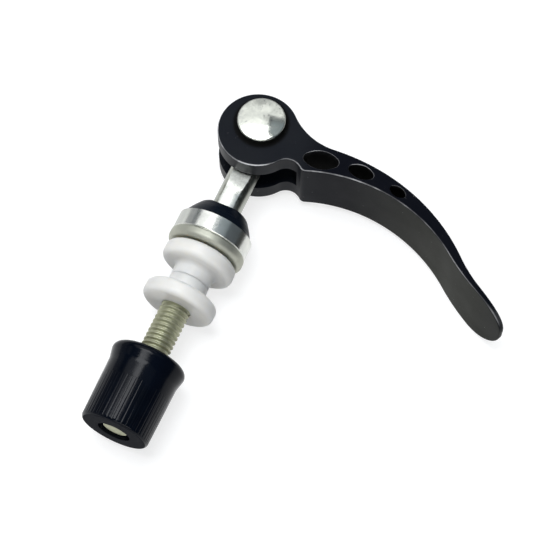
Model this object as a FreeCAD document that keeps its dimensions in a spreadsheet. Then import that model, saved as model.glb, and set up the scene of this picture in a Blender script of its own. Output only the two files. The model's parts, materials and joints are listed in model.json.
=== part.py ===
import FreeCAD, Part
import math
import os
import Sketcher

# Quick release seatpost clamp: a cam lever on a draw bolt, a cam saddle in a steel cup, two flanged
# bushes that seat in the frame's lug, and a ribbed thumb nut.
# Frame: origin on the bolt's axis at the near bush's clamping face, +X along the bolt towards the nut,
# +Z along the lever's pivot, the closed lever reaching towards +Y. Millimetres.

SIZES = [
    # Draw bolt
    ("rod_radius", 3.0, "bolt rod, and the crest of its thread"),
    ("flat_thickness", 4.5, "across the two flats and the eye"),
    ("flat_length", 21.0, "flats, from the pivot"),
    ("eye_radius", 5.0, "outside of the bolt's eye"),
    ("end_chamfer", 0.5, "at the threaded end"),
    ("end_recess", 0.6, "threaded end, inside the nut's mouth"),
    # Fits
    ("pivot_clearance", 0.05, "eye on the pivot, radial"),
    ("rod_clearance", 0.1, "bushes, saddle and cup on the rod, radial"),
    ("thread_clearance", 0.05, "insert on the thread, radial"),
    ("rivet_clearance", 0.02, "rivet in the lever"),
    ("seat_clearance", 0.05, "saddle in its cup, insert in its shell"),
    ("bush_gap", 0.2, "between the two hubs"),
    ("cup_gap", 0.35, "between the cup and the near bush"),
    # Bushes
    ("flange_radius", 7.4, ""),
    ("flange_thickness", 3.3, ""),
    ("flange_round", 1.1, "flange edges"),
    ("hub_radius", 4.0, "goes into the lug's hole"),
    ("hub_length", 2.7, "each bush, from its clamping face"),
    ("hub_fillet", 0.9, "hub to flange"),
    ("hub_round", 0.25, "outer edge of the hub's end"),
    # Cup and saddle
    ("cup_radius", 7.75, "outside of the wall"),
    ("cup_height", 5.8, ""),
    ("cup_wall", 0.8, ""),
    ("cup_band", 2.1, "height of the rolled bottom band"),
    ("cup_band_proud", 0.1, "band over the wall"),
    ("cup_crease", 0.2, "depth and half width of the crease above the band"),
    ("cup_band_round", 0.3, "upper corner of the band"),
    ("cup_round", 1.0, "bottom corner"),
    ("saddle_height", 4.1, "cone, above the cup"),
    ("saddle_lip", 0.3, "lip inside the cup's outline"),
    ("saddle_top_radius", 4.9, ""),
    ("saddle_bulge", 0.15, "how far the cone's side swells"),
    ("saddle_bulge_round", 12.0, "curve of that swell"),
    ("saddle_top_round", 1.4, "edge of the cone's top"),
    ("trough_depth", 0.7, ""),
    ("trough_clearance", 0.15, "trough over the cam's radius"),
    # Lever
    ("pivot_distance", 31.6, "pivot to the near bush's clamping face"),
    ("lever_width", 14.1, "along the pivot, at the head"),
    ("fork_gap", 5.8, "between the cheeks"),
    ("fork_depth", 10.0, "pivot to the slot's end"),
    ("cam_radius", 8.05, ""),
    ("cam_offset", 1.6, "cam centre from the pivot"),
    ("neck_radius", 13.0, "hollow between head and arm, outside"),
    ("outer_edge", -0.48, "crown of the outer edge, from the pivot"),
    ("outer_bow_y", 18.2, "outer edge, level of the bow's centre"),
    ("outer_bow_radius", 40.3, ""),
    ("outer_tip_radius", 31.0, "outer edge, return curve"),
    ("tip_x", 21.1, "centre of the blank's end, trimmed off"),
    ("tip_y", 63.6, "centre of the blank's end, trimmed off"),
    ("tip_round", 0.75, "half thickness of the blank's end"),
    ("tip_reach", 62.0, "pivot to the tip's end, along the tip"),
    ("tip_angle", 64.0, "way the tip points, from the bolt, in degrees"),
    ("inner_tip_radius", 49.6, "inner edge, return curve"),
    ("arm_thickness", 4.7, "crown of the outer edge to crown of the inner edge"),
    ("inner_bow_y", 23.5, "inner edge, level of the bow's centre"),
    ("inner_bow_radius", 32.6, "inner edge, bow"),
    ("heel_round", 1.2, "corner where the arm's inner face starts"),
    ("notch_radius", 3.0, "hollow between the cam and the arm"),
    ("notch_y", 8.9, "centre of that hollow"),
    ("tip_corner", 7.6, "corners of the tip, seen square to its face"),
    ("tip_half_width", 8.9, "half the arm's width, flared out to the tip's end"),
    ("flare_knee", 19.0, "middle of the flare's curve, along the tip"),
    ("flare_round", 326.0, "curve of the flare"),
    ("edge_round", 0.35, "edges of the casting"),
    # Lightening holes, from the head outwards
    ("hole_pitch", 8.2, "along the arm"),
    ("first_hole_y", 14.1, ""),
    ("first_hole_length", 7.0, ""),
    ("first_hole_radius", 1.1, "round ends"),
    ("hole_length_step", 1.75, "each hole is this much shorter than the last"),
    ("hole_radius_step", 0.275, "each hole's ends are this much smaller than the last"),
    ("first_hole_side", 4.9, "radius of the bowed sides"),
    ("hole_side_step", 1.25, "each hole's sides are this much smaller than the last"),
    ("hole_shift", 0.1, "holes from the arm's middle, towards its inner edge"),
    ("hole_round", 0.2, "rims of the holes"),
    # Pivot rivet
    ("pivot_radius", 2.6, ""),
    ("head_radius", 4.8, ""),
    ("head_side", 1.4, "straight side of the head"),
    ("head_dome", 0.7, "rise of the dome"),
    ("dome_knee", 2.4, "from the axis to the steeper half of the dome"),
    ("dome_fall", 0.14, "dome at the knee, below its crown"),
    ("dome_round", 9.6, "curve of the knee"),
    ("head_round", 0.3, "rim of the head"),
    ("tail_radius", 3.9, "peened end"),
    ("tail_height", 0.8, "peened end"),
    # Nut
    ("nut_gap", 11.1, "thread in view, far bush to nut"),
    ("nut_length", 16.3, ""),
    ("nut_flare_radius", 7.9, "corner of the top rim, before rounding"),
    ("nut_flare_round", 1.3, ""),
    ("nut_waist_length", 3.6, "top face to the waist"),
    ("nut_waist_radius", 7.08, ""),
    ("nut_waist_round", 4.0, ""),
    ("nut_end_radius", 6.85, ""),
    ("nut_end_round", 0.7, ""),
    ("nut_mouth_radius", 3.3, "hole in the end"),
    ("nut_end_wall", 2.7, "thickness of the end"),
    ("insert_radius", 4.6, ""),
    ("insert_recess", 0.4, "insert below the top face"),
    ("rib_count", 48, ""),
    ("rib_start", 7.0, "top face to the arched ends of the grooves"),
    ("groove_radius", 0.45, ""),
    ("groove_depth", 0.1, ""),
]

doc = FreeCAD.newDocument("seatpost_clamp")
sheet = doc.addObject("Spreadsheet::Sheet", "Sizes")
for line, (alias, number, note) in enumerate(SIZES, 1):
    sheet.set("A%d" % line, alias)
    sheet.set("B%d" % line, str(number))
    sheet.set("C%d" % line, note)
    sheet.setAlias("B%d" % line, alias)
doc.recompute()


class Dim:
    """A length from the sheet: its value now, and the expression that keeps it bound to the cells."""

    def __init__(self, value, text):
        self.value = value
        self.text = text

    def __add__(self, other):
        return Dim(self.value + other.value, "(%s + %s)" % (self.text, other.text))

    def __sub__(self, other):
        return Dim(self.value - other.value, "(%s - %s)" % (self.text, other.text))

    def __neg__(self):
        return Dim(-self.value, "(-1 * %s)" % self.text)

    def __mul__(self, factor):
        return Dim(self.value * factor, "(%s * %s)" % (self.text, factor))

    def half(self):
        return self * 0.5

    def leg(self, other):
        """The other short side of a right triangle with this long side."""
        value = math.sqrt(self.value ** 2 - other.value ** 2)
        return Dim(value, "sqrt(%s * %s - %s * %s)" % (self.text, self.text, other.text, other.text))


def cell(alias):
    return Dim(float(sheet.get(alias)), "Sizes." + alias)


def vector(x, y):
    return FreeCAD.Vector(x, y, 0)


# An edge whose faces meet at more than this is rounded where rounding is asked for
SHARP_DEGREES = 25
# Oval holes in the lever's arm
HOLE_COUNT = 3
# A cutter's outline reaches this many times past the metal it clears
PAST = 1.5


# Sketch helpers

def new_body(label):
    body = doc.addObject("PartDesign::Body", label)
    body.Label = label
    return body


def new_sketch(body, name, role):
    sketch = body.newObject("Sketcher::SketchObject", name)
    plane = [item for item in body.Origin.OriginFeatures if item.Role == role][0]
    sketch.AttachmentSupport = [(plane, "")]
    sketch.MapMode = "FlatFace"
    return sketch


def drive(sketch, constraint, length):
    """Adds a driving dimension and binds it to the sheet."""
    index = sketch.addConstraint(constraint)
    sketch.setExpression("Constraints[%d]" % index, length.text)


def locate(sketch, geometry, place, x, y):
    """Holds a sketch point at x, y from the sketch's origin; None means on that axis."""
    for kind, axis, length in (("DistanceX", -2, x), ("DistanceY", -1, y)):
        if length is None:
            sketch.addConstraint(Sketcher.Constraint("PointOnObject", geometry, place, axis))
        else:
            drive(sketch, Sketcher.Constraint(kind, -1, 1, geometry, place, length.value), length)


def value_of(length):
    return 0.0 if length is None else length.value


def add_arc(sketch, centre, radius, first, last, anticlockwise):
    """Adds an arc; returns its index and the names of its first and last ends."""
    start, end = (first, last) if anticlockwise else (last, first)
    angles = [math.atan2(p.y - centre.y, p.x - centre.x) for p in (start, end)]
    circle = Part.Circle(centre, FreeCAD.Vector(0, 0, 1), radius)
    index = sketch.addGeometry(Part.ArcOfCircle(circle, angles[0], angles[1]), False)
    return (index, 1, 2) if anticlockwise else (index, 2, 1)


def profile(sketch, corners):
    """A closed outline of straight sides through corners (x, y, rounding); rounding None is sharp."""
    count = len(corners)
    points = [vector(value_of(x), value_of(y)) for x, y, _ in corners]
    leave = {}
    arrive = {}
    arcs = {}
    for i, (x, y, rounding) in enumerate(corners):
        back = (points[i - 1] - points[i]).normalize()
        ahead = (points[(i + 1) % count] - points[i]).normalize()
        reach = 0.0
        if rounding is not None:
            half = back.getAngle(ahead) / 2
            reach = rounding.value / math.tan(half)
            middle = (back + ahead).normalize()
            arcs[i] = (points[i] + middle * (rounding.value / math.sin(half)), back.cross(ahead).z < 0)
        arrive[i] = points[i] + back * reach
        leave[i] = points[i] + ahead * reach
    sides = []
    for i in range(count):
        segment = Part.LineSegment(leave[i], arrive[(i + 1) % count])
        sides.append(sketch.addGeometry(segment, False))
    for i, (x, y, rounding) in enumerate(corners):
        before = sides[i - 1]
        after = sides[i]
        if rounding is None:
            sketch.addConstraint(Sketcher.Constraint("Coincident", before, 2, after, 1))
            locate(sketch, after, 1, x, y)
            continue
        mark = sketch.addGeometry(Part.Point(points[i]), True)
        locate(sketch, mark, 1, x, y)
        sketch.addConstraint(Sketcher.Constraint("PointOnObject", mark, 1, before))
        sketch.addConstraint(Sketcher.Constraint("PointOnObject", mark, 1, after))
        centre, anticlockwise = arcs[i]
        arc, first, last = add_arc(sketch, centre, rounding.value, arrive[i], leave[i], anticlockwise)
        sketch.addConstraint(Sketcher.Constraint("Tangent", before, 2, arc, first))
        sketch.addConstraint(Sketcher.Constraint("Tangent", arc, last, after, 1))
        drive(sketch, Sketcher.Constraint("Radius", arc, rounding.value), rounding)


def circle_at(sketch, x, y, radius):
    centre = vector(value_of(x), value_of(y))
    index = sketch.addGeometry(Part.Circle(centre, FreeCAD.Vector(0, 0, 1), radius.value), False)
    locate(sketch, index, 3, x, y)
    drive(sketch, Sketcher.Constraint("Radius", index, radius.value), radius)


def through(body, name, sketch):
    """Cuts a sketch right through its body, both ways."""
    pocket = body.newObject("PartDesign::Pocket", name)
    pocket.Profile = sketch
    pocket.Type = "ThroughAll"
    pocket.SideType = "Symmetric"
    return pocket


def revolved(label, corners):
    """A body turned about the bolt's axis."""
    body = new_body(label)
    sketch = new_sketch(body, label + "_section", "XY_Plane")
    profile(sketch, corners)
    turned = body.newObject("PartDesign::Revolution", label + "_turned")
    turned.Profile = sketch
    turned.ReferenceAxis = (sketch, ["H_Axis"])
    turned.Angle = 360
    return body


def sharp_edges(shape, wanted):
    """Names of the edges that turn sharply and whose middle point is wanted."""
    names = []
    for number, edge in enumerate(shape.Edges, 1):
        middle = edge.valueAt((edge.FirstParameter + edge.LastParameter) / 2)
        normals = []
        for face in shape.ancestorsOfType(edge, Part.Face):
            normals.append(face.normalAt(*face.Surface.parameter(middle)))
        sharp = len(normals) == 2 and normals[0].getAngle(normals[1]) > math.radians(SHARP_DEGREES)
        if sharp and wanted(middle):
            names.append("Edge%d" % number)
    return names


def rounded_edges(body, name, radius, wanted):
    """Rounds the sharp edges of a body's latest feature."""
    doc.recompute()
    base = body.Tip
    fillet = body.newObject("PartDesign::Fillet", name)
    fillet.Base = (base, sharp_edges(base.Shape, wanted))
    fillet.setExpression("Radius", radius.text)
    return fillet


def meeting(centre_a, radius_a, centre_b, radius_b, side):
    """One of the two points at given distances from two centres; side picks which."""
    span = centre_b - centre_a
    reach = span.Length
    along = (radius_a ** 2 - radius_b ** 2 + reach ** 2) / (2 * reach)
    across = math.sqrt(radius_a ** 2 - along ** 2)
    unit = span * (1 / reach)
    return centre_a + unit * along + vector(-unit.y, unit.x) * (across * side)


def touching(centre_a, centre_b, distance):
    """The point at a distance from one centre on the line towards, or away from, another."""
    return centre_a + (centre_b - centre_a).normalize() * distance


# Stations along the bolt, from the near bush's clamping face
hub_end = cell("hub_length")
far_hub = hub_end + cell("bush_gap")
far_face = far_hub + cell("hub_length")
far_back = far_face + cell("flange_thickness")
near_back = -cell("flange_thickness")
cup_bottom = near_back - cell("cup_gap")
cup_rim = cup_bottom - cell("cup_height")
saddle_base = cup_rim - cell("seat_clearance")
saddle_top = saddle_base - cell("saddle_height")
nut_top = far_back + cell("nut_gap")
nut_end = nut_top + cell("nut_length")
bolt_end = nut_end - cell("end_recess")
pivot = -cell("pivot_distance")
bore = cell("rod_radius") + cell("rod_clearance")


def bush(label, face, back, tip):
    """A flanged bush: clamping face (None at the origin), back of the flange and end of the hub."""
    return revolved(label, [
        (back, bore, None),
        (back, cell("flange_radius"), cell("flange_round")),
        (face, cell("flange_radius"), cell("flange_round")),
        (face, cell("hub_radius"), cell("hub_fillet")),
        (tip, cell("hub_radius"), cell("hub_round")),
        (tip, bore, None),
    ])


def cup():
    inside = cell("cup_radius") - cell("cup_wall")
    band = cup_bottom - cell("cup_band")
    crease = cell("cup_crease")
    proud = cell("cup_radius") + cell("cup_band_proud")
    floor = cup_bottom - cell("cup_wall")
    return revolved("cup_washer", [
        (cup_rim, inside, None),
        (cup_rim, cell("cup_radius"), None),
        (band - crease, cell("cup_radius"), None),
        (band, cell("cup_radius") - crease, None),
        (band + crease, proud, cell("cup_band_round")),
        (cup_bottom, proud, cell("cup_round")),
        (cup_bottom, bore, None),
        (floor, bore, None),
        (floor, inside, None),
    ])


def saddle():
    """A plug that fills the cup, and a swelling cone with a trough for the cam."""
    body = new_body("cam_saddle")
    section = new_sketch(body, "saddle_section", "XY_Plane")
    plug = cell("cup_radius") - cell("cup_wall") - cell("seat_clearance")
    plug_base = cup_bottom - cell("cup_wall") - cell("seat_clearance")
    lip = cell("cup_radius") - cell("saddle_lip")
    middle_x = (saddle_base + saddle_top).half()
    middle_y = (lip + cell("saddle_top_radius")).half() + cell("saddle_bulge")
    profile(section, [
        (plug_base, bore, None),
        (plug_base, plug, None),
        (saddle_base, plug, None),
        (saddle_base, lip, None),
        (middle_x, middle_y, cell("saddle_bulge_round")),
        (saddle_top, cell("saddle_top_radius"), cell("saddle_top_round")),
        (saddle_top, bore, None),
    ])
    turned = body.newObject("PartDesign::Revolution", "saddle_turned")
    turned.Profile = section
    turned.ReferenceAxis = (section, ["H_Axis"])
    turned.Angle = 360
    trough = new_sketch(body, "trough_outline", "XY_Plane")
    radius = cell("cam_radius") + cell("trough_clearance")
    circle_at(trough, saddle_top + cell("trough_depth") - radius, None, radius)
    through(body, "trough", trough)
    return body


def bolt():
    """The rod, its eye, two flats from the eye along the rod, and the pivot's hole."""
    body = new_body("bolt")
    rod_sketch = new_sketch(body, "rod_section", "XY_Plane")
    rod = cell("rod_radius")
    profile(rod_sketch, [
        (pivot, None, None),
        (pivot, rod, None),
        (bolt_end - cell("end_chamfer"), rod, None),
        (bolt_end, rod - cell("end_chamfer"), None),
        (bolt_end, None, None),
    ])
    turned = body.newObject("PartDesign::Revolution", "rod")
    turned.Profile = rod_sketch
    turned.ReferenceAxis = (rod_sketch, ["H_Axis"])
    turned.Angle = 360
    eye_sketch = new_sketch(body, "eye_outline", "XY_Plane")
    circle_at(eye_sketch, pivot, None, cell("eye_radius"))
    eye = body.newObject("PartDesign::Pad", "eye")
    eye.Profile = eye_sketch
    eye.SideType = "Symmetric"
    eye.setExpression("Length", cell("flat_thickness").text)
    hole_sketch = new_sketch(body, "eye_hole_outline", "XY_Plane")
    circle_at(hole_sketch, pivot, None, cell("pivot_radius") + cell("pivot_clearance"))
    through(body, "eye_hole", hole_sketch)
    half = cell("flat_thickness").half()
    # The flats keep their depth inside the fork, then rise to the rod's skin
    start = pivot - cell("eye_radius") * PAST
    fork_end = pivot + cell("cam_radius") + cell("cam_offset")
    run_out = pivot + cell("flat_length")
    clear = rod * PAST
    for name, side in (("upper_flat", 1), ("lower_flat", -1)):
        flat_sketch = new_sketch(body, name + "_outline", "XZ_Plane")
        profile(flat_sketch, [
            (start, half * side, None),
            (fork_end, half * side, None),
            (run_out, rod * side, None),
            (run_out, clear * side, None),
            (start, clear * side, None),
        ])
        through(body, name, flat_sketch)
    return body


def nut_shell():
    """The thumb nut's plastic shell, with fine grooves that end in arches below its waist."""
    cavity = cell("insert_radius") + cell("seat_clearance")
    floor = nut_end - cell("nut_end_wall")
    waist = nut_top + cell("nut_waist_length")
    body = revolved("nut_shell", [
        (nut_top, cavity, None),
        (nut_top, cell("nut_flare_radius"), cell("nut_flare_round")),
        (waist, cell("nut_waist_radius"), cell("nut_waist_round")),
        (nut_end, cell("nut_end_radius"), cell("nut_end_round")),
        (nut_end, cell("nut_mouth_radius"), None),
        (floor, cell("nut_mouth_radius"), None),
        (floor, cavity, None),
    ])
    # One groove is a round-nosed cutter laid along the tapered wall
    cutter = new_sketch(body, "groove_cutter", "XY_Plane")
    size = cell("groove_radius")
    lift = size - cell("groove_depth")
    start = nut_top + cell("rib_start")
    near = vector(start.value, cell("nut_waist_radius").value + lift.value)
    far = vector(nut_end.value + size.value, cell("nut_end_radius").value + lift.value)
    axis = cutter.addGeometry(Part.LineSegment(near, far), True)
    locate(cutter, axis, 1, start, cell("nut_waist_radius") + lift)
    locate(cutter, axis, 2, nut_end + size, cell("nut_end_radius") + lift)
    run = (far - near).normalize()
    out = vector(-run.y, run.x)
    nose = near - run * size.value
    crown = near + out * size.value
    tail = far + out * size.value
    base = cutter.addGeometry(Part.LineSegment(nose, far), False)
    end = cutter.addGeometry(Part.LineSegment(far, tail), False)
    top = cutter.addGeometry(Part.LineSegment(tail, crown), False)
    arc, first, last = add_arc(cutter, near, size.value, crown, nose, True)
    cutter.addConstraint(Sketcher.Constraint("Coincident", base, 2, axis, 2))
    cutter.addConstraint(Sketcher.Constraint("Coincident", base, 2, end, 1))
    cutter.addConstraint(Sketcher.Constraint("Coincident", end, 2, top, 1))
    cutter.addConstraint(Sketcher.Constraint("Tangent", top, 2, arc, first))
    cutter.addConstraint(Sketcher.Constraint("Coincident", arc, last, base, 1))
    cutter.addConstraint(Sketcher.Constraint("Coincident", arc, 3, axis, 1))
    cutter.addConstraint(Sketcher.Constraint("Parallel", base, axis))
    cutter.addConstraint(Sketcher.Constraint("Perpendicular", end, axis))
    drive(cutter, Sketcher.Constraint("Radius", arc, size.value), size)
    groove = body.newObject("PartDesign::Groove", "groove")
    groove.Profile = cutter
    groove.ReferenceAxis = (cutter, ["Axis0"])
    groove.Angle = 360
    doc.recompute()
    ribs = body.newObject("PartDesign::PolarPattern", "ribs")
    ribs.Originals = [groove]
    ribs.Axis = (cutter, ["H_Axis"])
    ribs.Angle = 360
    ribs.setExpression("Occurrences", cell("rib_count").text)
    body.Tip = ribs
    return body


def nut_insert():
    thread = cell("rod_radius") + cell("thread_clearance")
    top = nut_top + cell("insert_recess")
    bottom = nut_end - cell("nut_end_wall") - cell("seat_clearance")
    return revolved("nut_insert", [
        (top, thread, None),
        (top, cell("insert_radius"), None),
        (bottom, cell("insert_radius"), None),
        (bottom, thread, None),
    ])


def place_on_pivot(body):
    """The lever and its rivet are drawn about the pivot and moved to it."""
    body.setExpression(".Placement.Base.x", pivot.text)


def pivot_pin():
    """The rivet: domed head over one cheek, shank, and a peened end over the other."""
    body = new_body("pivot_pin")
    section = new_sketch(body, "pin_section", "XZ_Plane")
    cheek = cell("lever_width").half() + cell("rivet_clearance")
    rim = cheek + cell("head_side")
    crown = rim + cell("head_dome")
    tail = -cheek - cell("tail_height")
    profile(section, [
        (None, tail, None),
        (cell("pivot_radius"), tail, None),
        (cell("tail_radius"), -cheek, None),
        (cell("pivot_radius"), -cheek, None),
        (cell("pivot_radius"), cheek, None),
        (cell("head_radius"), cheek, None),
        (cell("head_radius"), rim, cell("head_round")),
        (cell("dome_knee"), crown - cell("dome_fall"), cell("dome_round")),
        (None, crown, None),
    ])
    turned = body.newObject("PartDesign::Revolution", "pin_turned")
    turned.Profile = section
    turned.ReferenceAxis = (section, ["V_Axis"])
    turned.Angle = 360
    place_on_pivot(body)
    return body


def bow_centres():
    """How far from the pivot the centres of the arm's outer and inner bows lie, along the bolt."""
    outer = cell("outer_edge") + cell("outer_bow_radius")
    inner = cell("outer_edge") + cell("arm_thickness") + cell("inner_bow_radius")
    return outer, inner


def lever_outline(sketch):
    """The lever's side view as one chain of tangent arcs, anticlockwise from the cam."""
    cam = vector(cell("cam_offset").value, 0)
    outer_x, inner_x = bow_centres()
    outer = vector(outer_x.value, cell("outer_bow_y").value)
    inner = vector(inner_x.value, cell("inner_bow_y").value)
    tip = vector(cell("tip_x").value, cell("tip_y").value)
    lengths = {name: cell(name) for name in (
        "cam_radius", "neck_radius", "outer_bow_radius", "outer_tip_radius", "tip_round",
        "inner_tip_radius", "inner_bow_radius", "heel_round", "notch_radius")}
    radius = {name: length.value for name, length in lengths.items()}
    neck = meeting(cam, radius["cam_radius"] + radius["neck_radius"],
                   outer, radius["outer_bow_radius"] + radius["neck_radius"], 1)
    outer_tip = meeting(outer, radius["outer_bow_radius"] + radius["outer_tip_radius"],
                        tip, radius["outer_tip_radius"] + radius["tip_round"], 1)
    inner_tip = meeting(inner, radius["inner_bow_radius"] + radius["inner_tip_radius"],
                        tip, radius["inner_tip_radius"] - radius["tip_round"], 1)
    notch_y = cell("notch_y").value
    notch_reach = radius["cam_radius"] + radius["notch_radius"]
    notch = vector(cam.x + math.sqrt(notch_reach ** 2 - notch_y ** 2), notch_y)
    heel = meeting(notch, radius["notch_radius"] + radius["heel_round"],
                   inner, radius["inner_bow_radius"] + radius["heel_round"], 1)
    # Where each arc meets the next, in order round the outline
    joints = [
        touching(notch, cam, radius["notch_radius"]),
        touching(heel, notch, radius["heel_round"]),
        touching(inner, heel, radius["inner_bow_radius"]),
        touching(inner, inner_tip, radius["inner_bow_radius"]),
        touching(inner_tip, tip, radius["inner_tip_radius"]),
        touching(outer_tip, tip, radius["outer_tip_radius"]),
        touching(outer, outer_tip, radius["outer_bow_radius"]),
        touching(outer, neck, radius["outer_bow_radius"]),
        touching(cam, neck, radius["cam_radius"]),
    ]
    # Arc name, centre, whether its centre is on the metal's side
    chain = [
        ("notch_radius", notch, False),
        ("heel_round", heel, True),
        ("inner_bow_radius", inner, False),
        ("inner_tip_radius", inner_tip, True),
        ("tip_round", tip, True),
        ("outer_tip_radius", outer_tip, False),
        ("outer_bow_radius", outer, True),
        ("neck_radius", neck, False),
        ("cam_radius", cam, True),
    ]
    arcs = {}
    order = []
    for i, (name, centre, solid) in enumerate(chain):
        start = joints[i]
        end = joints[(i + 1) % len(joints)]
        arcs[name] = add_arc(sketch, centre, radius[name], start, end, solid)
        order.append(name)
    for name, following in zip(order, order[1:] + order[:1]):
        index, first, last = arcs[name]
        other, other_first, other_last = arcs[following]
        sketch.addConstraint(Sketcher.Constraint("Tangent", index, last, other, other_first))
    for name in order:
        length = lengths[name]
        drive(sketch, Sketcher.Constraint("Radius", arcs[name][0], length.value), length)
    locate(sketch, arcs["cam_radius"][0], 3, cell("cam_offset"), None)
    locate(sketch, arcs["outer_bow_radius"][0], 3, outer_x, cell("outer_bow_y"))
    locate(sketch, arcs["inner_bow_radius"][0], 3, inner_x, cell("inner_bow_y"))
    locate(sketch, arcs["tip_round"][0], 3, cell("tip_x"), cell("tip_y"))
    level = cell("notch_y")
    drive(sketch, Sketcher.Constraint("DistanceY", -1, 1, arcs["notch_radius"][0], 3, level.value), level)


def trim_plan(body):
    """Cuts the blank's sides: the arm flares to a rounded spatula, drawn square to the tip."""
    sketch = new_sketch(body, "plan_outline", "XZ_Plane")
    turn = FreeCAD.Rotation(FreeCAD.Vector(0, 1, 0), cell("tip_angle").value)
    sketch.AttachmentOffset = FreeCAD.Placement(FreeCAD.Vector(), turn)
    sketch.setExpression("AttachmentOffset.Rotation.Angle", cell("tip_angle").text)
    reach = cell("tip_reach")
    corner = cell("tip_corner")
    knee = cell("flare_knee")
    flare = cell("flare_round")
    half = cell("lever_width").half()
    wide = cell("tip_half_width")
    clear = wide * PAST
    back = -cell("cam_radius") * PAST
    profile(sketch, [
        (back, half, None),
        (knee, half, flare),
        (reach, wide, corner),
        (reach, -wide, corner),
        (knee, -half, flare),
        (back, -half, None),
        (back, -clear, None),
        (reach + clear, -clear, None),
        (reach + clear, clear, None),
        (back, clear, None),
    ])
    through(body, "plan", sketch)


def arm_middle(level):
    """Halfway between the arm's two bowed edges, at a distance from the pivot."""
    outer_x, inner_x = bow_centres()
    outer = outer_x - cell("outer_bow_radius").leg(level - cell("outer_bow_y"))
    inner = inner_x - cell("inner_bow_radius").leg(level - cell("inner_bow_y"))
    return (outer + inner).half()


def oval(sketch, level, length, ends, sides):
    """A four-arc oval along the arm: two round ends joined by two bowed sides."""
    places = []
    for height in (level - length.half() + ends, level + length.half() - ends):
        places.append((arm_middle(height) + cell("hole_shift"), height))
    low, high = [vector(x.value, y.value) for x, y in places]
    middle = (low + high) * 0.5
    run = (high - low).normalize()
    across = vector(-run.y, run.x)
    offset = math.sqrt((sides.value - ends.value) ** 2 - (high - middle).Length ** 2)
    left_centre = middle - across * offset
    right_centre = middle + across * offset
    # Where the arcs meet, anticlockwise from the far end's right
    joints = [
        touching(high, right_centre, -ends.value),
        touching(high, left_centre, -ends.value),
        touching(low, left_centre, -ends.value),
        touching(low, right_centre, -ends.value),
    ]
    chain = [(high, ends), (left_centre, sides), (low, ends), (right_centre, sides)]
    arcs = []
    for i, (centre, radius) in enumerate(chain):
        arc = add_arc(sketch, centre, radius.value, joints[i], joints[(i + 1) % len(joints)], True)[0]
        arcs.append(arc)
        drive(sketch, Sketcher.Constraint("Radius", arc, radius.value), radius)
    for arc, following in zip(arcs, arcs[1:] + arcs[:1]):
        sketch.addConstraint(Sketcher.Constraint("Tangent", arc, 2, following, 1))
    for arc, (x, y) in zip((arcs[2], arcs[0]), places):
        locate(sketch, arc, 3, x, y)


def lightening_holes(body):
    """Ovals through the arm's width, each smaller than the last."""
    sketch = new_sketch(body, "hole_outlines", "XY_Plane")
    for number in range(HOLE_COUNT):
        ends = cell("first_hole_radius") - cell("hole_radius_step") * number
        sides = cell("first_hole_side") - cell("hole_side_step") * number
        length = cell("first_hole_length") - cell("hole_length_step") * number
        level = cell("first_hole_y") + cell("hole_pitch") * number
        oval(sketch, level, length, ends, sides)
    through(body, "holes", sketch)


def lever():
    body = new_body("lever")
    side = new_sketch(body, "lever_side", "XY_Plane")
    lever_outline(side)
    blank = body.newObject("PartDesign::Pad", "lever_blank")
    blank.Profile = side
    blank.SideType = "Symmetric"
    blank.setExpression("Length", (cell("tip_half_width") * 2).text)
    trim_plan(body)
    rounded_edges(body, "casting_edges", cell("edge_round"), lambda point: True)
    slot_sketch = new_sketch(body, "slot_outline", "XY_Plane")
    reach = cell("cam_radius") * PAST
    profile(slot_sketch, [
        (-reach, -reach, None),
        (reach, -reach, None),
        (reach, cell("fork_depth"), None),
        (-reach, cell("fork_depth"), None),
    ])
    slot = body.newObject("PartDesign::Pocket", "slot")
    slot.Profile = slot_sketch
    slot.SideType = "Symmetric"
    slot.setExpression("Length", cell("fork_gap").text)
    lightening_holes(body)
    outside = cell("fork_gap").value
    rounded_edges(body, "hole_rims", cell("hole_round"), lambda point: abs(point.z) > outside)
    hole_sketch = new_sketch(body, "pivot_hole_outline", "XY_Plane")
    circle_at(hole_sketch, None, None, cell("pivot_radius") + cell("rivet_clearance"))
    through(body, "pivot_hole", hole_sketch)
    place_on_pivot(body)
    return body


def checked(body):
    """Stops at a piece that did not build, and returns its solid."""
    for item in [body] + body.Group:
        if "Invalid" in item.State or "Error" in item.State:
            raise RuntimeError("%s did not build: %s" % (item.Name, item.State))
    if body.Shape.isNull() or not body.Shape.isValid() or len(body.Shape.Solids) != 1:
        raise RuntimeError("%s is not one sound solid" % body.Label)
    return body.Shape


pieces = [
    bush("upper_bush", None, near_back, hub_end),
    bush("lower_bush", far_face, far_back, far_hub),
    cup(),
    saddle(),
    bolt(),
    nut_shell(),
    nut_insert(),
    pivot_pin(),
    lever(),
]
doc.recompute()
os.makedirs("parts", exist_ok=True)
for piece in pieces:
    checked(piece).exportStep("parts/%s.step" % piece.Label)
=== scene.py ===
import json
import math

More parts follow.
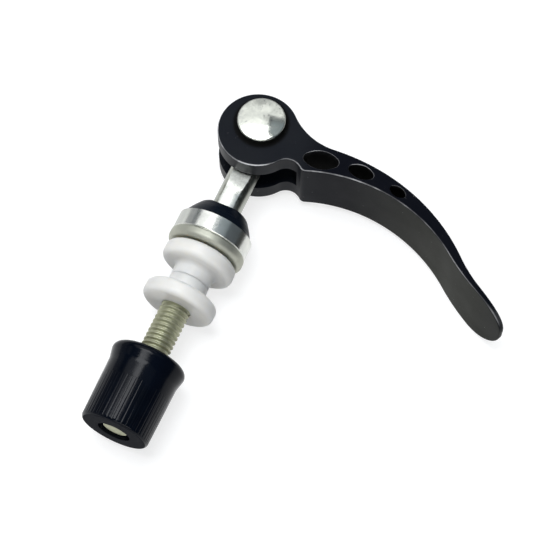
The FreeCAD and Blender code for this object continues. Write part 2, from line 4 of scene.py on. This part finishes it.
import bmesh
import bpy
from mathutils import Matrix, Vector


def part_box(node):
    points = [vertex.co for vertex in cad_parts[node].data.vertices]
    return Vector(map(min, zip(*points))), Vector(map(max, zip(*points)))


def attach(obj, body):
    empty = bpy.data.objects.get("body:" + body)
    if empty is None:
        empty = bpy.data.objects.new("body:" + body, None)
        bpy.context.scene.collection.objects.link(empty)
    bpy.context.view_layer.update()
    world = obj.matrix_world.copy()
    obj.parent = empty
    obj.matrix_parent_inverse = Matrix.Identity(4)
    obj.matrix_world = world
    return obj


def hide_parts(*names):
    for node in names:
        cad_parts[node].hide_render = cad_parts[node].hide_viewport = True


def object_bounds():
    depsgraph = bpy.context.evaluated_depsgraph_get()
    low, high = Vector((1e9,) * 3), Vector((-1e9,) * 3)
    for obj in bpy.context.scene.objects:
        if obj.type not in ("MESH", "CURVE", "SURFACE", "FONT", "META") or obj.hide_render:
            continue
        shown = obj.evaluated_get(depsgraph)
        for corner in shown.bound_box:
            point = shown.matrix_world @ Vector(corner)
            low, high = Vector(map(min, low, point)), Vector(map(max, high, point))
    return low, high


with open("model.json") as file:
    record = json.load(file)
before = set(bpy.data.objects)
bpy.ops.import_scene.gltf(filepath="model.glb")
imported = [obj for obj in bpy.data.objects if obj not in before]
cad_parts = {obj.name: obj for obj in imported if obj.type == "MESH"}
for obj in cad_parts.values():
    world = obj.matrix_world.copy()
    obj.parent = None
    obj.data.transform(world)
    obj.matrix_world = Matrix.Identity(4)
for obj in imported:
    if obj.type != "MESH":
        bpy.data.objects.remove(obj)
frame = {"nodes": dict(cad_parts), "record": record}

cad_box = [list(corner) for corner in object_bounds()]
nodes = frame["nodes"]
MM = 0.001

# Camera: the photograph's viewing angle, with its focal length and width in pixels
AZIMUTH = math.radians(113.988)
ELEVATION = math.radians(66.238)
DISTANCE = 0.35034
TARGET = Vector((-0.005362, 0.014716, 0.0))
SENSOR = 36.0
FOCAL_PIXELS = 1798.6
WIDTH_PIXELS = 551
CLIP_START = 0.01

# Horizontal directions in the picture: to its right, and from the object towards the camera
RIGHT = Vector((math.cos(AZIMUTH), math.sin(AZIMUTH), 0.0))
TOWARDS = Vector((math.sin(AZIMUTH), -math.cos(AZIMUTH), 0.0))
UP = Vector((0.0, 0.0, 1.0))

# Bolt thread, M6 by 1
PITCH = 1.0 * MM
CREST = 2.98 * MM
ROOT = 2.52 * MM
THREAD_START = 6.6 * MM
THREAD_RUN_OUT = 1.6 * MM
END_RADIUS = 2.45 * MM
# The thread's flat root and its flank, as shares of half a pitch
ROOT_FLAT = 0.20
FLANK_RUN = 0.62
# Rows of points for each turn, and points round the rod
THREAD_STEPS = 14
THREAD_SIDES = 84
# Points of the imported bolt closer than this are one, and edges sharper than this stay sharp
WELD = 0.0005 * MM
SHARP_EDGE = math.radians(32)

# The hubs' rounded ends: their length, and how much of the rounding and of the gap between them is shown
HUB_ROUND = 0.25 * MM
HUB_ROUND_REACH = 1.01 * HUB_ROUND
HUB_ROUND_SHOWN = 0.3
HUB_GAP_SHOWN = 0.15
# A normal that leans along the axis by more than this is on a flat end
END_FACING = 0.99

# The nut's outside: distance from its top to the waist, radius there and at the end, and the end's rounding
NUT_WAIST = 3.6 * MM
NUT_WAIST_RADIUS = 7.08 * MM
NUT_END_RADIUS = 6.85 * MM
NUT_END_ROUND = 0.7 * MM
# Its grooves: distance from its top, the most depth that counts as one, and the share that is shown
GROOVE_START = 6.0 * MM
GROOVE_REACH = 0.12 * MM
GROOVE_SHOWN = 0.5

# How near its own far side must be for a place on the casting to count as a hollow, where shade is painted
HOLLOW_REACH = 7.0 * MM

# Places on the pieces, in millimetres
# Along the arm: where the head's worn edges and painted edge highlights fade, where the arm begins, and where
# its painted sheen comes and thins
EDGE_WEAR_GLINT_FADE = (14.0, 34.0)
ARM_BEGINS = (7.0, 17.0)
SHEEN_COMES = (14.0, 44.0)
SHEEN_THINS = (50.0, 64.0)
# Painted shadow round the rivet's head, from its rim: where it starts to fade, and where it ends
RIVET_SHADOW = (0.4, 1.2)
# Square of the radius of the dimple in the rivet's head
DIMPLE_SQUARE = 0.09
# Along the bolt: where the bright plate turns to the thread's olive
THREAD_TONE = (-12.0, -4.0)
# The cup's rolled band: its height, and half the width of its border
CUP_BAND = 2.1
CUP_BORDER = 0.3

# Colours in linear light; a pair is the two ends of a mottled tone
PAINT_HEAD = ((0.0018, 0.0034, 0.0072), (0.0042, 0.0058, 0.0092))
# Painted shade: the arm is darker and bluer to stand in for its dimmer sheen
PAINT_ARM_SHADE = (0.0003, 0.0010, 0.0040)
# Painted highlight: a lighter sheen on the arm's inner face
PAINT_SHEEN = (0.0215, 0.0225, 0.0175)
# Painted shade in hollows
PAINT_HOLLOW_SHADE = (0.0002, 0.0002, 0.0002)
# Bare alloy on worn edges, also used as painted edge highlight
BARE_ALLOY_GLINT = (0.70, 0.70, 0.71)
RIVET_FACE = ((0.61, 0.625, 0.57), (0.51, 0.525, 0.48))
RIVET_PIT = (0.30, 0.31, 0.30)
ZINC_FLAT = ((0.93, 0.95, 0.90), (0.78, 0.80, 0.745))
# Painted shade on the bolt's rounded sides
ZINC_SIDE_SHADE = (0.37, 0.385, 0.345)
ZINC_DIRT = (0.20, 0.205, 0.16)
ZINC_THREAD = ((0.47, 0.475, 0.345), (0.38, 0.385, 0.28))
CUP_WALL = ((0.72, 0.725, 0.69), (0.60, 0.615, 0.58))
CUP_ROLLED = ((0.50, 0.505, 0.435), (0.42, 0.425, 0.365))
# Painted shade on the cup's side turned away from the lever
CUP_SIDE_SHADE = (0.42, 0.43, 0.40)
NYLON_WHITE = ((0.785, 0.774, 0.748), (0.745, 0.734, 0.708))
NUT_BLACK = ((0.0007, 0.0017, 0.0046), (0.0012, 0.0026, 0.0066))
SADDLE_BLACK = ((0.0020, 0.0045, 0.0095), (0.0040, 0.0070, 0.0130))
BRASS = ((0.70, 0.53, 0.25), (0.58, 0.43, 0.20))

# The range that most of a noise's values lie in
NOISE_RANGE = (0.3, 0.7)

# The colour sockets of a mix node, by number, because other sockets share their names
MIX_FIRST = 6
MIX_SECOND = 7
MIX_RESULT = 2

# Floor: half its width in metres, its gap under the part, what it shows by itself, and its grey in the light
FLOOR_HALF = 12.0
FLOOR_GAP = 0.01 * MM
FLOOR_GLOW = 0.72
FLOOR_GREY = 0.38
WHITE = (1.0, 1.0, 1.0)
WORLD_COLOUR = (0.10, 0.115, 0.13)


# Node helpers

def add(tree, kind, inputs=None, **settings):
    """A node with its settings made, and its inputs set to a value or linked to a socket."""
    made = tree.nodes.new(kind)
    for name, value in settings.items():
        setattr(made, name, value)
    for name, value in (inputs or {}).items():
        socket = made.inputs[name]
        if isinstance(value, bpy.types.NodeSocket):
            tree.links.new(value, socket)
        else:
            socket.default_value = value
    return made


def math_node(tree, operation, first, *others):
    """An operation on one value, or on several in turn."""
    if not others:
        return add(tree, "ShaderNodeMath", {0: first}, operation=operation).outputs[0]
    for value in others:
        first = add(tree, "ShaderNodeMath", {0: first, 1: value}, operation=operation).outputs[0]
    return first


def product(tree, *values):
    return math_node(tree, "MULTIPLY", *values)


def largest(tree, *values):
    return math_node(tree, "MAXIMUM", *values)


def total(tree, *values):
    return math_node(tree, "ADD", *values)


def spread(tree, value, low, high, to_low, to_high):
    """Maps a value's range low to high on to another, clamped and eased at its ends."""
    made = add(tree, "ShaderNodeMapRange", {
        "Value": value, "From Min": low, "From Max": high, "To Min": to_low, "To Max": to_high,
    }, interpolation_type="SMOOTHSTEP")
    return made.outputs["Result"]


def rising(tree, value, low, high):
    return spread(tree, value, low, high, 0.0, 1.0)


def falling(tree, value, low, high):
    return spread(tree, value, low, high, 1.0, 0.0)


def varied(tree, cloud, to_low=0.0, to_high=1.0):
    """A noise's usual range mapped on to another."""
    return spread(tree, cloud, *NOISE_RANGE, to_low, to_high)


def object_space(tree, stretch=(1.0, 1.0, 1.0)):
    """Places on the piece in millimetres, stretched per axis."""
    where = add(tree, "ShaderNodeTexCoord").outputs["Object"]
    scale = [value / MM for value in stretch]
    return add(tree, "ShaderNodeMapping", {"Vector": where, "Scale": scale}).outputs["Vector"]


def parts_of(tree, vector):
    return add(tree, "ShaderNodeSeparateXYZ", {"Vector": vector}).outputs


def noise(tree, where, scale, detail=3.0, rough=0.55):
    made = add(tree, "ShaderNodeTexNoise", {
        "Vector": where, "Scale": scale, "Detail": detail, "Roughness": rough,
    })
    return made.outputs["Fac"]


def mixed(tree, share, first, second):
    """A colour between two, by a share from 0 to 1."""
    made = add(tree, "ShaderNodeMix", {"Factor": share}, data_type="RGBA")
    for number, colour in ((MIX_FIRST, first), (MIX_SECOND, second)):
        socket = made.inputs[number]
        if isinstance(colour, bpy.types.NodeSocket):
            tree.links.new(colour, socket)
        else:
            socket.default_value = (*colour, 1.0)
    return made.outputs[MIX_RESULT]


def bump(tree, height, depth, normal=None):
    """A bumped normal; depth is the height's full range in metres."""
    inputs = {"Height": height, "Distance": depth, "Strength": 1.0}
    if normal is not None:
        inputs["Normal"] = normal
    return add(tree, "ShaderNodeBump", inputs).outputs["Normal"]


def new_material(name, **sockets):
    """A new material with its shader's own sockets set; returns it with its tree and shader."""
    material = bpy.data.materials.new(name)
    material.use_nodes = True
    shader = material.node_tree.nodes["Principled BSDF"]
    for socket, value in sockets.items():
        shader.inputs[socket.replace("_", " ")].default_value = value
    return material, material.node_tree, shader


def link(tree, shader, **sockets):
    for socket, output in sockets.items():
        tree.links.new(output, shader.inputs[socket.replace("_", " ")])


def facing_along(tree, axis):
    """How far the surface faces along one of the piece's own axes, from -1 to 1."""
    normal = add(tree, "ShaderNodeNewGeometry").outputs["Normal"]
    turned = add(tree, "ShaderNodeVectorTransform", {"Vector": normal}, vector_type="NORMAL",
                 convert_from="WORLD", convert_to="OBJECT").outputs["Vector"]
    return parts_of(tree, turned)[axis]


def facing(tree, axis):
    """How far the surface faces along one of the piece's own axes, either way, from 0 to 1."""
    return math_node(tree, "ABSOLUTE", facing_along(tree, axis))


def rivet_head():
    """The rivet's place along X, and its head's radius, in millimetres."""
    low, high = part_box("pivot_pin")
    return (low.x + high.x) / 2 / MM, (high.x - low.x) / 2 / MM


def square_from_rivet(tree, where):
    """Square of the distance from the rivet's axis, in square millimetres."""
    parts = parts_of(tree, where)
    away = math_node(tree, "SUBTRACT", parts["X"], rivet_head()[0])
    return total(tree, product(tree, away, away), product(tree, parts["Y"], parts["Y"]))


# Materials

def rubbed_paint_and_glints(tree, where, across, exposed):
    """How far paint is rubbed, part real wear and part painted edge highlight: off edges, most on the head's
    inner side, and in small chips.
    """
    edge = product(tree, rising(tree, across, 0.25, 0.50), falling(tree, across, 0.74, 0.93))
    patchy = spread(tree, noise(tree, where, 0.16, 3.0), 0.40, 0.60, 0.25, 1.0)
    head = spread(tree, parts_of(tree, where)["Y"], *EDGE_WEAR_GLINT_FADE, 1.0, 0.35)
    # Painted highlight: the edge colour is strongest on edges facing +X and -Y, where light glints
    lean = math_node(tree, "SUBTRACT", facing_along(tree, "X"), facing_along(tree, "Y"))
    inner = spread(tree, lean, -0.2, 0.3, 0.15, 1.0)
    chips = spread(tree, noise(tree, where, 0.85, 5.0, 0.7), 0.66, 0.72, 0.0, 0.16)
    return largest(tree, product(tree, edge, patchy, head, inner, exposed), product(tree, chips, exposed))


def black_paint():
    """Satin black paint on a casting: an arm painted darker and bluer as painted shade, a painted sheen on
    the inner face, painted shade in hollows, and rubbed edges with painted edge highlight.
    """
    material, tree, shader = new_material("black_paint", Specular_IOR_Level=0.085)
    where = object_space(tree)
    along = parts_of(tree, where)["Y"]
    across = facing(tree, "Z")
    broad = noise(tree, where, 0.12, 4.0)
    fine = noise(tree, where, 2.6, 2.0)
    open_air = add(tree, "ShaderNodeAmbientOcclusion", {"Distance": HOLLOW_REACH}, samples=8,
                   only_local=True).outputs["AO"]
    exposed = spread(tree, open_air, 0.66, 0.90, 0.08, 1.0)
    rubbed_and_glint = rubbed_paint_and_glints(tree, where, across, exposed)
    # A shadow is painted in the corner under the rivet's head, as dark as the painted shade in the hollows
    head_radius = rivet_head()[1]
    shadow_fades, shadow_ends = [(head_radius + width) ** 2 for width in RIVET_SHADOW]
    rivet_shadow = falling(tree, square_from_rivet(tree, where), shadow_fades, shadow_ends)
    # Painted shade: places the occlusion finds hollow, and the rivet's corner, are painted near black
    hollow_shade = largest(tree, falling(tree, open_air, 0.30, 0.62), rivet_shadow)
    # The arm is painted darker and bluer than the head as painted shade, its sides are duller, and its inner
    # face has a painted sheen towards the tip
    arm = rising(tree, along, *ARM_BEGINS)
    side = product(tree, arm, rising(tree, across, 0.86, 0.96))
    flat = falling(tree, across, 0.10, 0.20)
    # Painted sheen: the inner face is lighter towards the tip, for the light it reflects
    painted_sheen = product(tree, flat, rising(tree, along, *SHEEN_COMES), spread(tree, along, *SHEEN_THINS, 1.0, 0.35))
    colour = mixed(tree, varied(tree, broad), *PAINT_HEAD)
    layers = ((arm, PAINT_ARM_SHADE), (painted_sheen, PAINT_SHEEN), (hollow_shade, PAINT_HOLLOW_SHADE), (rubbed_and_glint, BARE_ALLOY_GLINT))
    for share, layer in layers:
        colour = mixed(tree, share, colour, layer)
    link(tree, shader, Base_Color=colour)
    plain = spread(tree, broad, 0.25, 0.75, 0.36, 0.44)
    dull = largest(tree, product(tree, largest(tree, side, hollow_shade), 0.34), product(tree, arm, 0.16))
    shine = product(tree, rubbed_and_glint, -0.20)
    link(tree, shader, Roughness=total(tree, plain, dull, shine))
    link(tree, shader, Normal=bump(tree, fine, 0.003 * MM))
    return material


def polished_rivet():
    """Polished metal with smudges, a few pits and a small centre dimple."""
    material, tree, shader = new_material("polished_rivet", Metallic=1.0)
    where = object_space(tree)
    smudge = noise(tree, where, 0.5, 5.0, 0.62)
    clean = mixed(tree, rising(tree, smudge, 0.36, 0.66), *RIVET_FACE)
    pits = spread(tree, noise(tree, where, 1.5, 3.0), 0.63, 0.69, 0.0, 0.75)
    link(tree, shader, Base_Color=mixed(tree, pits, clean, RIVET_PIT))
    link(tree, shader, Roughness=spread(tree, smudge, 0.30, 0.72, 0.13, 0.26))
    dimple = rising(tree, square_from_rivet(tree, where), 0.0, DIMPLE_SQUARE)
    relief = bump(tree, dimple, 0.012 * MM)
    link(tree, shader, Normal=bump(tree, smudge, 0.004 * MM, relief))
    return material


def zinc_steel():
    """Zinc plate: bright on the flats with dirt at their borders and painted shade on the rounded sides,
    olive and duller along the thread.
    """
    material, tree, shader = new_material("zinc_steel", Metallic=1.0)
    where = object_space(tree)
    threaded = rising(tree, parts_of(tree, where)["X"], *THREAD_TONE)
    across = facing(tree, "Z")
    cloud = noise(tree, where, 0.35, 4.0)
    grain = rising(tree, noise(tree, where, 1.8, 5.0, 0.7), 0.38, 0.62)
    # Painted shade: the rounded sides beside the flats are darker, for the dark lever they reflect
    sides = falling(tree, across, 0.60, 0.93)
    border = product(tree, rising(tree, across, 0.60, 0.72), falling(tree, across, 0.80, 0.97))
    patchy = spread(tree, noise(tree, where, 0.45, 4.0), 0.40, 0.60, 0.2, 0.9)
    bright = mixed(tree, grain, *ZINC_FLAT)
    bright = mixed(tree, sides, bright, ZINC_SIDE_SHADE)
    bright = mixed(tree, product(tree, border, patchy), bright, ZINC_DIRT)
    olive = mixed(tree, varied(tree, cloud), *ZINC_THREAD)
    link(tree, shader, Base_Color=mixed(tree, threaded, bright, olive))
    plain = varied(tree, cloud, 0.27, 0.36)
    link(tree, shader, Roughness=total(tree, plain, product(tree, threaded, 0.27)))
    draws = noise(tree, object_space(tree, (0.04, 1.0, 1.0)), 2.2, 3.0)
    link(tree, shader, Normal=bump(tree, draws, 0.0012 * MM))
    return material


def polished_cup():
    """Plated pressed steel: a soft polished wall over a dull rolled band."""
    material, tree, shader = new_material("polished_cup", Metallic=1.0)
    where = object_space(tree)
    band_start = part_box("cup_washer")[1].x / MM - CUP_BAND
    band = rising(tree, parts_of(tree, where)["X"], band_start - CUP_BORDER, band_start + CUP_BORDER)
    rings = noise(tree, object_space(tree, (1.0, 0.02, 0.02)), 7.0, 3.0)
    draws = noise(tree, object_space(tree, (0.05, 1.0, 1.0)), 1.1, 4.0)
    tone = varied(tree, noise(tree, where, 0.4, 4.0))
    # Painted shade: the plate is darker on the side turned away from the lever
    side_shade = falling(tree, facing_along(tree, "Y"), -0.92, -0.45)
    wall = mixed(tree, side_shade, mixed(tree, tone, *CUP_WALL), CUP_SIDE_SHADE)
    link(tree, shader, Base_Color=mixed(tree, band, wall, mixed(tree, tone, *CUP_ROLLED)))
    plain = varied(tree, draws, 0.21, 0.27)
    link(tree, shader, Roughness=total(tree, plain, product(tree, band, 0.35)))
    relief = bump(tree, rings, 0.0006 * MM)
    link(tree, shader, Normal=bump(tree, draws, 0.0004 * MM, relief))
    return material


def white_nylon():
    """Natural nylon: milky, a little light inside, with a soft moulded skin."""
    material, tree, shader = new_material(
        "white_nylon", Subsurface_Weight=0.9, Subsurface_Radius=(1.0, 0.95, 0.85), Subsurface_Scale=0.0016,
        Specular_IOR_Level=0.4)
    where = object_space(tree)
    skin = noise(tree, where, 0.3, 1.0)
    tone = varied(tree, noise(tree, where, 0.25, 3.0))
    link(tree, shader, Base_Color=mixed(tree, tone, *NYLON_WHITE))
    link(tree, shader, Roughness=varied(tree, skin, 0.32, 0.38))
    link(tree, shader, Normal=bump(tree, skin, 0.0006 * MM))
    return material


def gloss_black():
    """Glossy blue-black plastic; its turned end is duller."""
    material, tree, shader = new_material("gloss_black", Specular_IOR_Level=0.12)
    where = object_space(tree)
    skin = noise(tree, where, 0.25, 0.0)
    tone = varied(tree, noise(tree, where, 0.2, 3.0))
    link(tree, shader, Base_Color=mixed(tree, tone, *NUT_BLACK))
    end = spread(tree, facing(tree, "X"), 0.80, 0.97, 0.0, 0.65)
    plain = varied(tree, noise(tree, where, 2.2, 4.0), 0.15, 0.20)
    link(tree, shader, Roughness=total(tree, plain, end))
    link(tree, shader, Normal=bump(tree, skin, 0.0015 * MM))
    return material


def black_nylon():
    """Moulded black plastic with a soft sheen and faint turning rings."""
    material, tree, shader = new_material("black_nylon", Specular_IOR_Level=0.08)
    where = object_space(tree)
    skin = noise(tree, where, 2.4, 3.0)
    rings = noise(tree, object_space(tree, (1.0, 0.05, 0.05)), 5.0, 2.0)
    tone = varied(tree, noise(tree, where, 0.3, 3.0))
    link(tree, shader, Base_Color=mixed(tree, tone, *SADDLE_BLACK))
    link(tree, shader, Roughness=varied(tree, rings, 0.26, 0.50))
    link(tree, shader, Normal=bump(tree, skin, 0.003 * MM, bump(tree, rings, 0.012 * MM)))
    return material


def insert_brass():
    """Turned brass, seen only deep in the nut's mouth."""
    material, tree, shader = new_material("insert_brass", Metallic=1.0)
    rings = noise(tree, object_space(tree, (1.0, 0.02, 0.02)), 6.0, 3.0)
    link(tree, shader, Base_Color=mixed(tree, varied(tree, rings), *BRASS))
    link(tree, shader, Roughness=varied(tree, rings, 0.22, 0.34))
    link(tree, shader, Normal=bump(tree, rings, 0.003 * MM))
    return material


finishes = {make.__name__: make() for make in (
    black_paint, polished_rivet, zinc_steel, polished_cup,
    white_nylon, gloss_black, black_nylon, insert_brass)}
slot_of = {entry["node"]: entry["material_slot"] for entry in frame["record"]["subparts"]}
for name, node in nodes.items():
    node.data.materials.clear()
    node.data.materials.append(finishes[slot_of[name]])


# Draw bolt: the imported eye, flats and shank, with a real thread from the shank's end

def clamped(value):
    return min(1.0, max(0.0, value))


def thread_radius(x, turn, end):
    """The thread's radius along the bolt and round it, run out at its start and chamfered at its end."""
    phase = (x / PITCH - turn) % 1.0
    rise = 1.0 - abs(2.0 * phase - 1.0)
    straight = clamped((rise - ROOT_FLAT) / FLANK_RUN)
    eased = straight * straight * (3.0 - 2.0 * straight)
    depth = (CREST - ROOT) * (1.0 - (straight + eased) / 2)
    depth *= clamped((x - THREAD_START) / THREAD_RUN_OUT)
    return min(CREST - depth, END_RADIUS + (end - x))


def threaded_rod(mesh, end):
    """Adds a closed threaded rod along X."""
    count = int((end - THREAD_START) / PITCH * THREAD_STEPS)
    rows = []
    for i in range(count + 1):
        x = THREAD_START + (end - THREAD_START) * i / count
        row = []
        for j in range(THREAD_SIDES):
            turn = j / THREAD_SIDES
            radius = thread_radius(x, turn, end)
            angle = 2 * math.pi * turn
            row.append(mesh.verts.new((x, radius * math.cos(angle), radius * math.sin(angle))))
        rows.append(row)
    for before, after in zip(rows, rows[1:]):
        for j in range(THREAD_SIDES):
            k = (j + 1) % THREAD_SIDES
            mesh.faces.new((before[j], before[k], after[k], after[j]))
    for row, x, flip in ((rows[0], THREAD_START, False), (rows[-1], end, True)):
        hub = mesh.verts.new((x, 0.0, 0.0))
        for j in range(THREAD_SIDES):
            k = (j + 1) % THREAD_SIDES
            corners = (hub, row[j], row[k]) if flip else (hub, row[k], row[j])
            mesh.faces.new(corners)


def corners_of(mesh):
    """The corners of each face, by their numbers."""
    return [tuple(face.vertices) for face in mesh.polygons]


def stand_in(name, data, body, replaced, slot):
    """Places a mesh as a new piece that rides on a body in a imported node's stead."""
    piece = bpy.data.objects.new(name, data)
    bpy.context.scene.collection.objects.link(piece)
    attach(piece, body)
    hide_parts(replaced)


def draw_bolt():
    """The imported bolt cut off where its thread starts, and the threaded rod."""
    source = nodes["bolt"].data
    # A plain copy, so that the cut mesh takes new normals
    plain = bpy.data.meshes.new("bolt_plain")
    plain.from_pydata([vertex.co for vertex in source.vertices], [], corners_of(source))
    mesh = bmesh.new()
    mesh.from_mesh(plain)
    bpy.data.meshes.remove(plain)
    bmesh.ops.remove_doubles(mesh, verts=mesh.verts, dist=WELD)
    everything = mesh.verts[:] + mesh.edges[:] + mesh.faces[:]
    bmesh.ops.bisect_plane(mesh, geom=everything, plane_co=(THREAD_START, 0, 0), plane_no=(1, 0, 0),
                           clear_outer=True)
    rim = [edge for edge in mesh.edges if edge.is_boundary]
    bmesh.ops.holes_fill(mesh, edges=rim, sides=0)
    threaded_rod(mesh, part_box("bolt")[1].x)
    data = bpy.data.meshes.new("draw_bolt_threaded")
    mesh.to_mesh(data)
    mesh.free()
    data.materials.append(finishes["zinc_steel"])
    data.shade_smooth()
    data.set_sharp_from_angle(angle=SHARP_EDGE)
    stand_in("draw_bolt_threaded", data, "draw_bolt", "bolt", "zinc_steel")


draw_bolt()


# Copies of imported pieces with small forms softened

def softened(name, body, moved, turned):
    """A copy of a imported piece, in its place, with its points moved and its normals turned by functions."""
    source = nodes[name].data
    data = bpy.data.meshes.new(name + "_soft")
    data.from_pydata([moved(*vertex.co) for vertex in source.vertices], [], corners_of(source))
    slot = slot_of[name]
    data.materials.append(finishes[slot])
    data.shade_smooth()
    places = [source.vertices[loop.vertex_index].co for loop in source.loops]
    packed = [corner.vector for corner in source.corner_normals]
    data.normals_split_custom_set([turned(place, normal) for place, normal in zip(places, packed)])
    stand_in(name + "_soft", data, body, name, slot)


def met_bush(name, body, end, grow, hub_radius):
    """A bush with its hub's end drawn out along X and its rounding softened, so that the hubs meet."""
    def moved(x, y, z):
        share = 1.0 - abs(end - x) / HUB_ROUND
        if share <= 0.0:
            return x, y, z
        radius = math.hypot(y, z)
        shown = hub_radius - (hub_radius - radius) * HUB_ROUND_SHOWN
        scale = shown / radius if hub_radius - radius < HUB_ROUND_REACH else 1.0
        return x + grow * share, y * scale, z * scale

    def turned(place, normal):
        # The rounding leans towards the end by the share of it that is shown
        if abs(end - place.x) > HUB_ROUND_REACH or abs(normal.x) > END_FACING:
            return normal
        return Vector((normal.x * HUB_ROUND_SHOWN, normal.y, normal.z)).normalized()
    softened(name, body, moved, turned)


def met_bushes():
    """Both bushes, with the gap between their hubs narrowed from each side alike."""
    near_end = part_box("upper_bush")[1].x
    far_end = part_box("lower_bush")[0].x
    grow = (far_end - near_end) * (1.0 - HUB_GAP_SHOWN) / 2
    pilot = next(mount for mount in frame["record"]["mounts"] if mount["name"] == "lug_pilot")
    hub_radius = pilot["dims"]["r_mm"] * MM
    met_bush("upper_bush", "seat", near_end, grow, hub_radius)
    met_bush("lower_bush", "far_bush", far_end, -grow, hub_radius)


def soft_nut():
    """The nut's shell with its grooves part filled, so that they show mostly in its highlight."""
    low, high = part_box("nut_shell")
    waist_x = low.x + NUT_WAIST
    round_start = high.x - NUT_END_ROUND

    def moved(x, y, z):
        if x < low.x + GROOVE_START:
            return x, y, z
        radius = math.hypot(y, z)
        down = (x - waist_x) / (high.x - waist_x)
        outside = NUT_WAIST_RADIUS + (NUT_END_RADIUS - NUT_WAIST_RADIUS) * down
        if x > round_start:
            fall = math.sqrt(max(0.0, NUT_END_ROUND ** 2 - (x - round_start) ** 2))
            outside = min(outside, NUT_END_RADIUS - NUT_END_ROUND + fall)
        depth = outside - radius
        if depth <= 0.0 or depth > GROOVE_REACH:
            return x, y, z
        scale = (outside - depth * GROOVE_SHOWN) / radius
        return x, y * scale, z * scale

    def turned(place, normal):
        # Only a groove's wall leans round the axis
        around = Vector((0.0, -place.z, place.y)).normalized()
        return (normal - around * normal.dot(around) * (1.0 - GROOVE_SHOWN)).normalized()
    softened("nut_shell", "nut", moved, turned)


met_bushes()
soft_nut()


# Camera

back = TOWARDS * math.cos(ELEVATION) + UP * math.sin(ELEVATION)
camera_data = bpy.data.cameras.new("camera")
camera_data.sensor_width = SENSOR
camera_data.lens = SENSOR * FOCAL_PIXELS / WIDTH_PIXELS
camera_data.clip_start = CLIP_START
camera = bpy.data.objects.new("camera", camera_data)
camera.location = TARGET + back * DISTANCE
camera.rotation_euler = (-back).to_track_quat("-Z", "Y").to_euler()
bpy.context.scene.collection.objects.link(camera)
bpy.context.scene.camera = camera


# Floor and light

def floor():
    """A plain floor under the part; it shows white to the camera and keeps a faint shadow."""
    half = FLOOR_HALF
    level = cad_box[0][2] - FLOOR_GAP
    data = bpy.data.meshes.new("floor")
    corners = [(-half, -half, level), (half, -half, level), (half, half, level), (-half, half, level)]
    data.from_pydata(corners, [], [(0, 1, 2, 3)])
    material = bpy.data.materials.new("floor")
    material.use_nodes = True
    tree = material.node_tree
    tree.nodes.clear()
    rays = add(tree, "ShaderNodeLightPath").outputs
    seen = largest(tree, rays["Is Camera Ray"], rays["Is Glossy Ray"], rays["Is Transmission Ray"])
    glow = add(tree, "ShaderNodeEmission", {
        "Color": (*WHITE, 1.0), "Strength": product(tree, seen, FLOOR_GLOW),
    }).outputs[0]
    grey = (FLOOR_GREY, FLOOR_GREY, FLOOR_GREY, 1.0)
    matt = add(tree, "ShaderNodeBsdfDiffuse", {"Color": grey}).outputs[0]
    both = add(tree, "ShaderNodeAddShader", {0: glow, 1: matt}).outputs[0]
    add(tree, "ShaderNodeOutputMaterial", {"Surface": both})
    data.materials.append(material)
    piece = bpy.data.objects.new("floor", data)
    bpy.context.scene.collection.objects.link(piece)


def panel(name, place, width, depth, radiance, aimed=False, colour=WHITE):
    """A soft light panel; place is (right, towards the camera, up) in metres from the object."""
    data = bpy.data.lights.new(name, "AREA")
    data.shape = "RECTANGLE"
    data.size = width
    data.size_y = depth
    data.energy = radiance * math.pi * width * depth
    data.color = colour
    lamp = bpy.data.objects.new(name, data)
    lamp.location = RIGHT * place[0] + TOWARDS * place[1] + UP * place[2]
    if aimed:
        lamp.rotation_euler = (-lamp.location).to_track_quat("-Z", "Y").to_euler()
    else:
        # Flat overhead: width runs across the picture
        lamp.rotation_euler = (0.0, 0.0, AZIMUTH)
    bpy.context.scene.collection.objects.link(lamp)


floor()
panel("overhead", (-0.19, -0.28, 0.60), 0.54, 0.24, 1.35)
panel("overhead_far", (0.02, -0.66, 0.60), 1.04, 0.50, 1.25)
panel("overhead_core", (-0.08, -0.04, 0.59), 0.34, 0.28, 9.0, colour=(0.96, 0.98, 1.0))
panel("right_sky", (0.40, -0.10, 0.60), 0.50, 0.40, 0.25, colour=(0.75, 0.90, 1.0))
panel("back_left", (-1.30, -1.10, 0.40), 1.2, 0.6, 0.3, aimed=True)
panel("left_fill", (-0.80, 0.10, 0.30), 0.7, 0.6, 0.60, aimed=True)
panel("front_strip", (-0.05, 0.80, 0.36), 0.80, 0.22, 4.5, aimed=True)

world = bpy.data.worlds.new("studio")
world.use_nodes = True
world.node_tree.nodes["Background"].inputs["Color"].default_value = (*WORLD_COLOUR, 1.0)
bpy.context.scene.world = world
bpy.context.scene.view_settings.view_transform = "Standard"
